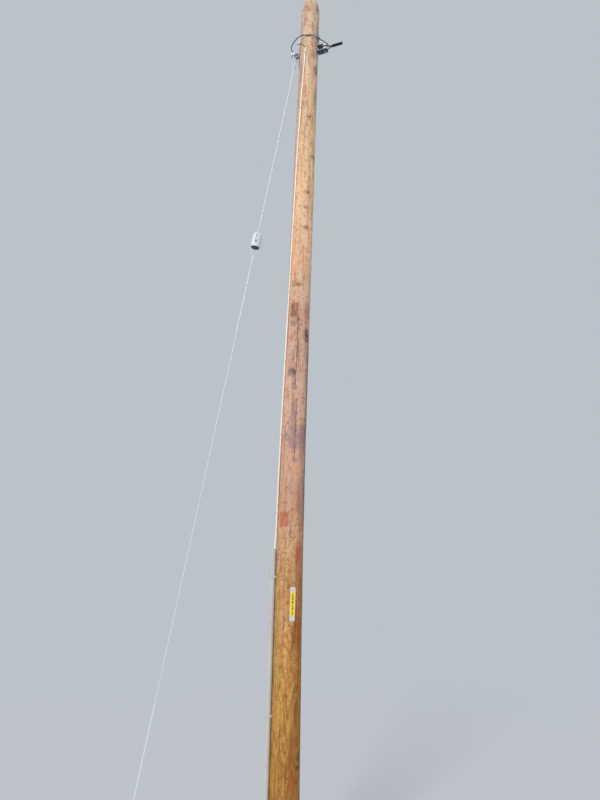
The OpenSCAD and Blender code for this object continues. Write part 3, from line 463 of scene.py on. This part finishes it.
bright_zinc = galvanised("galvanised_steel", (196, 200, 208), 0.42, 0.35)
dull_zinc = galvanised("dull_galvanised_steel", (146, 149, 158), 0.58, 0.30, 0.55)
dark_zinc = galvanised("dark_galvanised_steel", (84, 86, 96), 0.52, 0.10)
for node_name in ("spool_pin", "upper_bolt", "upper_bolt_nut", "upper_washer_back"):
    dress(node_name, bright_zinc)
for node_name in ("through_bolt", "upper_washer_front", "spool_clevis", "thimble_eye_nut", "spool_cotter",
                  "anchor_rod"):
    dress(node_name, dull_zinc)
for node_name in ("strain_plate", "plate_nails", "jumper_staple"):
    dress(node_name, dark_zinc)
# The upper bolt's end on the bracket's side takes the duller zinc: painted shade on that side of the bolt
upper_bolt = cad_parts["upper_bolt"]
upper_bolt.data.materials.append(dull_zinc)
for face in upper_bolt.data.polygons:
    face.material_index = 1 if face.center.x > 0 else 0
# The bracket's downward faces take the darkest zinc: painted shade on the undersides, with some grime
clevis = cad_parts["spool_clevis"]
clevis.data.materials.append(dark_zinc)
for face in clevis.data.polygons:
    face.material_index = 1 if face.normal.z < -0.4 else 0


# Porcelain
# The guy insulator and the bracket's spool are pressed porcelain under a thick clear glaze,
# with dust that has run down from the top.
glaze, tree, shader = new_finish("glazed_porcelain")
place = object_place(tree)
dust = noise(tree, object_place(tree, (1, 1, 0.25)), 45.0, 4.0)
colour = blend(tree, spread(tree, dust, 0.5, 0.75, 0.0, 0.5), linear(226, 229, 236), linear(182, 178, 168))
specks = put(tree, "ShaderNodeTexVoronoi", {}, {"Vector": place, "Scale": 300.0}).outputs["Distance"]
colour = blend(tree, spread(tree, specks, 0.09, 0.04, 0.0, 0.35), colour, linear(150, 140, 126))
tree.links.new(colour, shader.inputs["Base Color"])
tree.links.new(spread(tree, dust, 0.4, 0.75, 0.12, 0.42), shader.inputs["Roughness"])
shader.inputs["Coat Weight"].default_value = 0.6
shader.inputs["Coat Roughness"].default_value = 0.08
for node_name in ("guy_insulator", "spool_insulator"):
    dress(node_name, glaze)


def two_tone(name, grain, detail, edges, first, second, rough, metal=0.0, scale=(1, 1, 1)):
    finish, tree, shader = new_finish(name)
    patches = noise(tree, object_place(tree, scale), grain, detail)
    colour = blend(tree, spread(tree, patches, *edges), linear(*first), linear(*second))
    tree.links.new(colour, shader.inputs["Base Color"])
    shader.inputs["Roughness"].default_value = rough
    shader.inputs["Metallic"].default_value = metal
    return finish


# The guy insulator's downward lower end is painted near black: painted shade on its underside, in a rough unglazed
# finish
shaded_insulator_end = two_tone("shaded_porcelain_end", 70.0, 4.0, (0.35, 0.65), (58, 58, 70), (92, 90, 98), 0.9)
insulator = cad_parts["guy_insulator"]
insulator.data.materials.append(shaded_insulator_end)
# The guy runs from the eye's middle, at the lower bolt's height, to the cut lower end of its rod.
# The insulator hangs square to it, so its lower end is found along the guy's direction.
bolt_height = 7.01
eye_out = 0.034
anchor_reach = 1.32
guy_top = Vector((timber_middle(bolt_height).x - timber_radius(bolt_height) - eye_out,
                  timber_middle(bolt_height).y, bolt_height))
guy_tilt = math.atan((anchor_reach + guy_top.x) / bolt_height)
guy_up = Vector((math.sin(guy_tilt), 0, math.cos(guy_tilt)))
insulator_low = min(v.co.dot(guy_up) for v in insulator.data.vertices)
shaded_end_depth = 0.02
for face in insulator.data.polygons:
    if face.normal.dot(guy_up) < -0.6 and face.center.dot(guy_up) < insulator_low + shaded_end_depth:
        face.material_index = 1


# Guy strand and preformed grips
# The guy is seven galvanised wires laid up together. Each grip is a bundle of stiff wires bent
# into a loop, whose two legs are laid round the strand so that they cover it.
guy_length = bolt_height / math.cos(guy_tilt)
guy_frame = Matrix.Translation(guy_top) @ Matrix.Rotation(guy_tilt, 4, "Y")
grip_length = 0.900
bare_strand = 0.163
# How far past an eye's middle a loop bears, and how far from there its two legs meet
eye_bear = 0.0092
eye_meet = 0.150
rod_shown = 0.300
anchor_eye = guy_length - rod_shown
# The insulator's two holes stand off its middle, and each loop bears on the far side of its hole
hole_off = 0.018
hole_bear = 0.0062
insulator_seat = eye_bear + 2 * grip_length + bare_strand
insulator_low_seat = insulator_seat - hole_off * 2 + hole_bear * 2
insulator_meet = 0.180
insulator_turn = math.radians(22)
strand_gap = 0.012
zinc_wire = galvanised("galvanised_wire", (242, 246, 252), 0.42, 0.10, 0.25)


def joined(pieces, name):
    nothing_selected()
    for piece in pieces:
        piece.select_set(True)
    bpy.context.view_layer.objects.active = pieces[0]
    bpy.ops.object.join()
    pieces[0].name = name
    return pieces[0]


def poly_curve(name, points):
    line = bpy.data.curves.new(name, "CURVE")
    line.dimensions = "3D"
    spline = line.splines.new("POLY")
    spline.points.add(len(points) - 1)
    for spot, p in zip(spline.points, points):
        spot.co = (*p, 1)
    piece = bpy.data.objects.new(name, line)
    bpy.context.scene.collection.objects.link(piece)
    return piece


def laid_wires(name, count, wire_d, ring_d, core, length, lay, sides=8):
    nothing_selected()
    spots = [(0.0, 0.0)] if core else []
    for i in range(count):
        turn = 2 * math.pi * i / count
        spots.append((ring_d / 2 * math.cos(turn), ring_d / 2 * math.sin(turn)))
    wires = []
    for x, y in spots:
        bpy.ops.mesh.primitive_circle_add(vertices=sides, radius=wire_d / 2, fill_type="NOTHING", location=(x, y, 0))
        wires.append(bpy.context.object)
    bundle = settle(joined(wires, name))
    screw = bundle.modifiers.new("lay", "SCREW")
    screw.axis = "Z"
    screw.angle = 2 * math.pi * length / lay
    screw.screw_offset = length
    screw.steps = screw.render_steps = max(6, round(length / lay * 12))
    screw.use_merge_vertices = False
    bpy.ops.object.modifier_apply(modifier="lay")
    bpy.ops.object.mode_set(mode="EDIT")
    bpy.ops.mesh.select_all(action="SELECT")
    bpy.ops.mesh.fill_holes(sides=sides)
    bpy.ops.mesh.normals_make_consistent(inside=False)
    bpy.ops.object.mode_set(mode="OBJECT")
    bpy.ops.object.shade_smooth_by_angle(angle=math.radians(60))
    return bundle


def bent_along(bundle, points):
    guide = poly_curve("guide", points)
    guide.data.twist_mode = "MINIMUM"
    take(bundle)
    bend = bundle.modifiers.new("bend", "CURVE")
    bend.object = guide
    bend.deform_axis = "POS_Z"
    bpy.ops.object.modifier_apply(modifier="bend")
    bpy.data.objects.remove(guide)
    return bundle


def smooth_line(points, steps):
    line = []
    for i in range(len(points) - 1):
        a, b = points[max(i - 1, 0)], points[i]
        c, d = points[i + 1], points[min(i + 2, len(points) - 1)]
        for k in range(steps):
            t = k / steps
            line.append(0.5 * (2 * b + (c - a) * t + (2 * a - 5 * b + 4 * c - d) * t * t
                               + (3 * b - a - 3 * c + d) * t ** 3))
    return line + [points[-1]]


def line_length(points):
    return sum((b - a).length for a, b in zip(points, points[1:]))


# One loop in its own plane: up one leg from where they meet, round the bend and down the other
def grip_loop(half, corner, close_z, meet_z):
    meet = 0.0043
    ease, drop = (half - meet) * 0.12, (meet_z - close_z) * 0.22
    side = [(meet, -meet_z - 0.006), (meet, -meet_z), (meet + ease, drop - meet_z),
            ((half + meet) / 2, -(close_z + meet_z) / 2), (half - ease, -close_z - drop)]
    if close_z > corner:
        side += [(half, -close_z), (half, -(close_z + corner) / 2)]
    side += [(half - corner + corner * math.cos(math.radians(a)), corner * math.sin(math.radians(a)) - corner)
             for a in range(0, 91, 15)]
    back = side[:-1] if half <= corner else side
    return [Vector((0, -y, z)) for y, z in side] + [Vector((0, y, z)) for y, z in reversed(back)]


# Legs and sleeve of a grip: count, wire size, ring across the wires' middles, and no core wire
leg_wires, leg_lay = (4, 0.0028, 0.0040, False), 0.045
sleeve_wires, sleeve_lay = (12, 0.0028, 0.0111, False), 0.075


def preformed_grip(name, seat_at, up, half, corner, close_z, meet_z, node_name, turn=0.0):
    path = smooth_line(grip_loop(half, corner, close_z, meet_z), 3)
    loop = bent_along(laid_wires(name, *leg_wires, line_length(path), leg_lay), path)
    sleeve_length = grip_length - meet_z - 0.002
    sleeve = laid_wires(name + "_sleeve", *sleeve_wires, sleeve_length, sleeve_lay)
    sleeve.location = (0, 0, -grip_length)
    loop = joined([loop, settle(sleeve)], name)
    flip = Matrix.Rotation(math.pi, 4, "X") if up else Matrix.Identity(4)
    loop.matrix_world = guy_frame @ Matrix.Translation((0, 0, -seat_at)) @ Matrix.Rotation(turn, 4, "Z") @ flip
    settle(loop)
    loop.data.materials.append(zinc_wire)
    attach(loop, "root")
    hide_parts(node_name)


# Half width, bend radius, and how far from the bend the legs start to close and meet
insulator_loop = (0.0365, 0.014, 0.088, insulator_meet)
eye_loop = (0.020, 0.020, 0.020, eye_meet)
preformed_grip("grip_at_eye", eye_bear, False, *eye_loop, "guy_grip_top")
preformed_grip("grip_above_insulator", insulator_seat, True, *insulator_loop, "insulator_grip_upper", insulator_turn)
preformed_grip("grip_below_insulator", insulator_low_seat, False, *insulator_loop, "insulator_grip_lower",
               math.pi / 2 + insulator_turn)
preformed_grip("grip_at_anchor", anchor_eye - eye_bear, True, *eye_loop, "guy_grip_bottom")

# The upper strand ends in a tail that leaves the grip and stands beside the eye
tail_start = -0.240
tail_x, tail_y = -0.018, -0.034
tail = [(0, 0, tail_start), (0, 0, -0.192), (-0.0015, 0, -0.180), (-0.0046, 0, -0.168), (-0.0084, 0, -0.155),
        (-0.0116, -0.001, -0.144), (-0.015, 0.18 * tail_y, -0.120), (-0.018, 0.41 * tail_y, -0.0885),
        (-0.020, 0.68 * tail_y, -0.0615), (tail_x - 0.002, 0.91 * tail_y, -0.0405), (tail_x, tail_y, -0.025),
        (tail_x, tail_y, 0.012)]
upper_end = insulator_seat - insulator_meet - strand_gap
straight_steps = 20
upper_line = [Vector((0, 0, (upper_end + tail_start) * i / straight_steps - upper_end)) for i in range(straight_steps)]
upper_line += smooth_line([Vector(p) for p in tail], 3)
# The strand has six wires round a core wire
strand_wires, strand_lay = (6, 0.0026, 0.0053, True), 0.115
upper_strand = laid_wires("strand_above_insulator", *strand_wires, line_length(upper_line), strand_lay)
bent_along(upper_strand, upper_line)
lower_start, lower_end = insulator_low_seat + insulator_meet + strand_gap, anchor_eye - eye_meet - strand_gap
lower_strand = laid_wires("strand_below_insulator", *strand_wires, lower_end - lower_start, strand_lay)
lower_strand.location = (0, 0, -lower_end)
settle(lower_strand)
for strand, node_name in ((upper_strand, "guy_strand_upper"), (lower_strand, "guy_strand_lower")):
    strand.matrix_world = guy_frame
    settle(strand)
    strand.data.materials.append(zinc_wire)
    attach(strand, "root")
    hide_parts(node_name)


# Bond clamp
# A small bolted clamp of bright metal grips the strand's tail and the jumper side by side.
bright_metal = galvanised("bright_clamp_metal", (220, 229, 240), 0.28, 0.15, 0.4)
dress("bond_clamp", bright_metal)


# Black bond jumper
# A stiff covered conductor that leaves the wrapping on the spool, passes over the front of the
# timber under a staple and ends in the bond clamp on the guy's tail.
def sheath(name, tint, dull, grime, amount):
    finish, tree, shader = new_finish(name)
    cloudy = noise(tree, object_place(tree, (1, 1, 0.4)), 55.0, 4.0)
    colour = blend(tree, spread(tree, cloudy, 0.46, 0.72, 0.0, amount), linear(*tint), linear(*grime))
    tree.links.new(colour, shader.inputs["Base Color"])
    tree.links.new(spread(tree, cloudy, 0.3, 0.7, dull - 0.06, dull + 0.12), shader.inputs["Roughness"])
    bump = put(tree, "ShaderNodeBump", {}, {"Strength": 0.15, "Distance": 0.0003, "Height": cloudy})
    tree.links.new(bump.outputs[0], shader.inputs["Normal"])
    return finish


seam_gap = 0.00002


def tube(name, points, diameter, finish, node_name):
    piece = poly_curve(name, points)
    piece.data.bevel_depth = diameter / 2
    piece.data.bevel_resolution = 3
    piece.data.use_fill_caps = True
    take(piece)
    bpy.ops.object.convert(target="MESH")
    piece = bpy.context.object
    bpy.ops.object.mode_set(mode="EDIT")
    bpy.ops.mesh.select_all(action="SELECT")
    bpy.ops.mesh.remove_doubles(threshold=seam_gap)
    bpy.ops.object.mode_set(mode="OBJECT")
    bpy.ops.object.shade_smooth_by_angle(angle=math.radians(60))
    piece.data.materials.append(finish)
    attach(piece, "root")
    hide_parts(node_name)


black_cover = sheath("black_cover", (15, 17, 34), 0.60, (58, 52, 54), 0.5)
jumper_d = 0.008
jumper_rise, jumper_out = 0.115, 0.084
jumper_x = tail_x - 0.016
spool_out = 0.0793
lying_gap = 0.0003
spool_at = Vector((timber_middle(bolt_height).x + timber_radius(bolt_height) + spool_out,
                   timber_middle(bolt_height).y, bolt_height))
# Direction round the timber, and shares of the rise and of the distance off the timber
arc = [(352, -0.148, 1.384), (347, -0.052, 1.36), (341, 0.061, 1.22), (334, 0.122, 1.084), (326, 0.278, 0.846),
       (319, 0.609, 0.459), (310, 0.87, 0.2), (298, 1, 0.03), (288, 1, 0.01), (279.5, 0.99, 0),
       (271.5, 0.99, 0.03), (262, 0.99, 0.15), (249, 0.99, 0.27), (233, 0.93, 0.43), (219, 0.835, 0.62),
       (210.5, 0.774, 0.76), (204, 0.652, 0.9), (198, 0.47, 0.985)]
route = [spool_at + Vector(p) for p in ((0.082, -0.008, -0.0078), (0.064, -0.008, -0.0078))]
for degrees, up, out in arc:
    clear = jumper_d / 2 + lying_gap + out * (jumper_out - jumper_d / 2)
    route.append(off_timber(degrees, bolt_height + up * jumper_rise, clear))
route += [guy_frame @ Vector(p) for p in ((jumper_x - 0.003, tail_y, 0.024), (jumper_x, tail_y, 0.008))]
jumper_line = smooth_line(route, 4) + [guy_frame @ Vector((jumper_x, tail_y, -0.040))]
tube("jumper", jumper_line, jumper_d, black_cover, "bond_jumper")
dress("jumper_serving", black_cover)


# Ground lead
# A cream covered copper conductor stapled down the timber. It winds from the front at the top
# to the left side, where it goes into the conduit, and its bare end runs to the upper bolt.
cream_cover = sheath("cream_cover", (250, 238, 220), 0.45, (226, 208, 184), 0.5)
lead_d = 0.012
# Share of the timber's height and direction
lead_turns = [(0.26, 214), (0.315, 214), (0.354, 216), (0.472, 227), (0.538, 233), (0.604, 237), (0.682, 243),
              (0.774, 250), (0.853, 261), (0.919, 272)]
lead_top, lead_low, conduit_height = 6.98, 2.22, 2.38
# Above the conduit's mouth the lead steps out from the timber, to clear the conduit's wall
rim_step, rim_run = 0.008, 0.12


def looked_up(share, table):
    for (a, at_a), (b, at_b) in zip(table, table[1:]):
        if a <= share <= b:
            return at_a + (at_b - at_a) * (share - a) / (b - a)
    return table[0][1] if share < table[0][0] else table[-1][1]


def lead_out(z):
    return lead_d / 2 + lying_gap + rim_step * max(0, min(1, (conduit_height + rim_run - z) / rim_run))


lead_line = []
lead_steps = 110
for i in range(lead_steps + 1):
    z = lead_top - (lead_top - lead_low) * i / lead_steps
    lead_line.append(off_timber(looked_up(z / pole_height, lead_turns), z, lead_out(z)))
tube("ground_lead_cover", lead_line, lead_d, cream_cover, "ground_lead")
copper = two_tone("dulled_copper", 90.0, 4.0, (0.4, 0.65), (172, 134, 106), (128, 102, 86), 0.5, 0.8)
dress("ground_lead_end", copper)
dress("lead_staples", bright_zinc)


# Conduit
# A grey plastic conduit guards the lead up to head height. It leans with the timber and is held
# by three one-hole straps with a screw each.
plastic, tree, shader = new_finish("grey_conduit_plastic")
streaks = noise(tree, object_place(tree, (1, 1, 0.05)), 60.0, 3.0)
scuffs = noise(tree, object_place(tree, (1, 1, 0.6)), 30.0, 5.0)
colour = blend(tree, spread(tree, streaks, 0.45, 0.7, 0.0, 0.4), linear(192, 190, 185), linear(174, 171, 164))
colour = blend(tree, spread(tree, scuffs, 0.56, 0.74, 0.0, 0.5), colour, linear(162, 155, 144))
tree.links.new(colour, shader.inputs["Base Color"])
tree.links.new(spread(tree, scuffs, 0.35, 0.7, 0.38, 0.6), shader.inputs["Roughness"])
dress("conduit", plastic)
strap_zinc = galvanised("strap_steel", (196, 194, 190), 0.55, 0.15, 0.1)
for node_name in ("conduit_straps", "strap_screws"):
    dress(node_name, strap_zinc)


# Number tag
# A pressed aluminium holder is nailed to the timber at eye level. A yellow plastic strip slides
# into its lips and carries plain black figures, one under the other.
aluminium = two_tone("satin_aluminium", 300.0, 2.0, (0.3, 0.7), (238, 228, 226), (218, 208, 206), 0.40, 0.35,
                     (1, 1, 0.05))
for node_name in ("tag_holder", "tag_nails"):
    dress(node_name, aluminium)
yellow = two_tone("yellow_strip", 30.0, 3.0, (0.4, 0.7), (250, 216, 56), (238, 202, 70), 0.45)
dress("tag_strip", yellow)
tag_height, tag_direction = 1.995, math.radians(309)
# The tag lies along the timber, which leans by its taper and its bow where the tag hangs
lean_run = 0.02


def tag_side(z):
    return timber_radius(z) + timber_bow(z) * math.cos(tag_direction - bow_direction)


tag_slope = math.atan((tag_side(tag_height + lean_run) - tag_side(tag_height - lean_run)) / (2 * lean_run))
strip_out = 0.0038
tag_face = (Matrix.Translation(timber_middle(tag_height)) @ Matrix.Rotation(tag_direction, 4, "Z")
            @ Matrix.Translation((timber_radius(tag_height), 0, 0)) @ Matrix.Rotation(tag_slope, 4, "Y")
            @ Matrix.Translation((strip_out, 0, 0)))
ink = two_tone("black_figures", 400.0, 3.0, (0.5, 0.75), (50, 42, 18), (96, 82, 30), 0.5)
figure_thick = 0.0002
first_row, row_step = 0.0625, 0.025
# Text lies in its own XY plane, and this stands it on the tag's face
upright = Matrix(((0, 0, 1, 0), (1, 0, 0, 0), (0, 1, 0, 0), (0, 0, 0, 1)))
figures = []
for row, digit in enumerate("204173"):
    nothing_selected()
    bpy.ops.object.text_add(location=(0, 0, 0))
    figure = bpy.context.object
    figure.data.body = digit
    figure.data.size = 0.030
    figure.data.offset = 0.0005
    figure.data.align_x = "CENTER"
    figure.data.align_y = "CENTER"
    figure.data.extrude = figure_thick
    bpy.ops.object.convert(target="MESH")
    figure = bpy.context.object
    figure.matrix_world = tag_face @ Matrix.Translation((figure_thick, 0, first_row - row * row_step)) @ upright
    figures.append(settle(figure))
tag_figures = joined(figures, "tag_figures")
bpy.ops.object.mode_set(mode="EDIT")
bpy.ops.mesh.select_all(action="SELECT")
bpy.ops.mesh.remove_doubles(threshold=seam_gap)
bpy.ops.mesh.normals_make_consistent(inside=False)
bpy.ops.object.mode_set(mode="OBJECT")
tag_figures.data.materials.append(ink)
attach(tag_figures, "root")


# Floor, light and camera
# A pale floor and a pale surround, one soft sun from the left and an even fill, seen from where
# the photograph was taken: a little over two metres up and tilted back.
nothing_selected()
bpy.ops.mesh.primitive_plane_add(size=120, location=(0, 0, 0))
floor = bpy.context.object
floor.name = "floor"
floor_finish, tree, shader = new_finish("pale_floor")
shader.inputs["Base Color"].default_value = (0.47, 0.49, 0.52, 1)
shader.inputs["Roughness"].default_value = 0.9
pale = (0.50, 0.54, 0.59, 1)
# Seen from the camera, the floor fades into the surround with distance
far_off = vector(tree, "LENGTH", object_place(tree), output="Value")
ray = put(tree, "ShaderNodeLightPath", {}, {})
seen_far = maths(tree, "MULTIPLY", spread(tree, far_off, 4.0, 20.0), ray.outputs["Is Camera Ray"])
haze = put(tree, "ShaderNodeEmission", {}, {"Color": pale, "Strength": 1.0}).outputs[0]
fade = put(tree, "ShaderNodeMixShader", {}, {0: seen_far, 1: shader.outputs[0], 2: haze}).outputs[0]
tree.links.new(fade, tree.nodes["Material Output"].inputs["Surface"])
floor.data.materials.append(floor_finish)

surround = bpy.data.worlds.new("surround")
bpy.context.scene.world = surround
surround.use_nodes = True
tree = surround.node_tree
ray = put(tree, "ShaderNodeLightPath", {}, {})
seen = maths(tree, "MAXIMUM", maths(tree, "MAXIMUM", ray.outputs["Is Camera Ray"], ray.outputs["Is Glossy Ray"]),
             ray.outputs["Is Transmission Ray"])
back = tree.nodes["Background"]
tree.links.new(blend(tree, seen, (0.72, 0.745, 0.785, 1), pale), back.inputs["Color"])
back.inputs["Strength"].default_value = 1.0

sun_data = bpy.data.lights.new("sun", "SUN")
sun_data.energy = 1.85
sun_data.angle = math.radians(14)
sun_data.color = (1.0, 0.98, 0.95)
sun = bpy.data.objects.new("sun", sun_data)
bpy.context.scene.collection.objects.link(sun)
sun_direction, sun_rise = math.radians(268), math.radians(38)
to_sun = Vector((math.cos(sun_direction), math.sin(sun_direction), math.tan(sun_rise)))
sun.rotation_mode = "QUATERNION"
sun.rotation_quaternion = (-to_sun).to_track_quat("-Z", "Y")

camera_data = bpy.data.cameras.new("camera")
camera_data.lens = 27
camera_data.sensor_width = 36
camera_data.clip_end = 500
camera = bpy.data.objects.new("camera", camera_data)
bpy.context.scene.collection.objects.link(camera)
camera_place = (1.7745, -4.3522, 2.30)
camera_heading, camera_tilt, camera_roll = math.radians(22), math.radians(105), math.radians(1.8)
camera.matrix_world = (Matrix.Translation(camera_place) @ Matrix.Rotation(camera_heading, 4, "Z")
                       @ Matrix.Rotation(camera_tilt, 4, "X") @ Matrix.Rotation(camera_roll, 4, "Z"))
bpy.context.scene.camera = camera
bpy.context.scene.view_settings.view_transform = "Standard"
